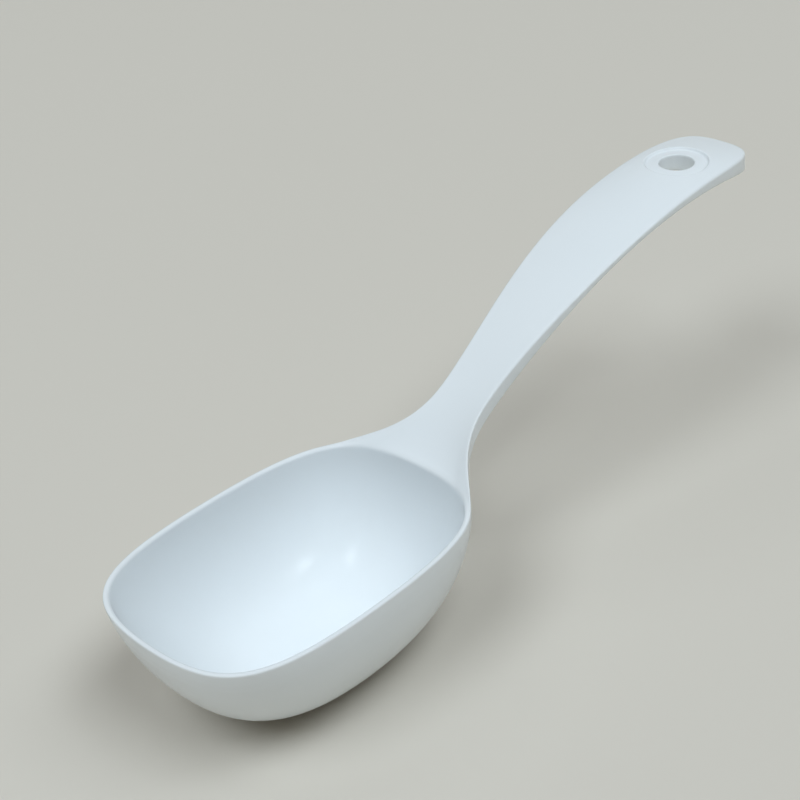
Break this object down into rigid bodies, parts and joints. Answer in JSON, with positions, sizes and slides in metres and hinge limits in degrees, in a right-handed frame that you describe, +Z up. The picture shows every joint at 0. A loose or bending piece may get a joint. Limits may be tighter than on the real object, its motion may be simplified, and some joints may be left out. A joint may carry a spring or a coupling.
{
  "type": "soup ladle",
  "caption": "Short-handled white plastic soup ladle: a deep rounded-rectangular bowl on a flared neck and a curved strap handle with a recessed hanging hole at its round tip.",
  "frame": {"origin": "middle of the flat under the bowl, on the surface that the ladle stands on", "axes": "+X from the bowl along the handle, +Y across the bowl, +Z up; the rim is level"},
  "size_m": [0.2401, 0.071, 0.0872],
  "materials": {
    "white_plastic": "satin moulded white plastic"
  },
  "bodies": {
    "root": {"bowl": "white_plastic", "neck": "white_plastic", "handle": "white_plastic"}
  },
  "joints": []
}
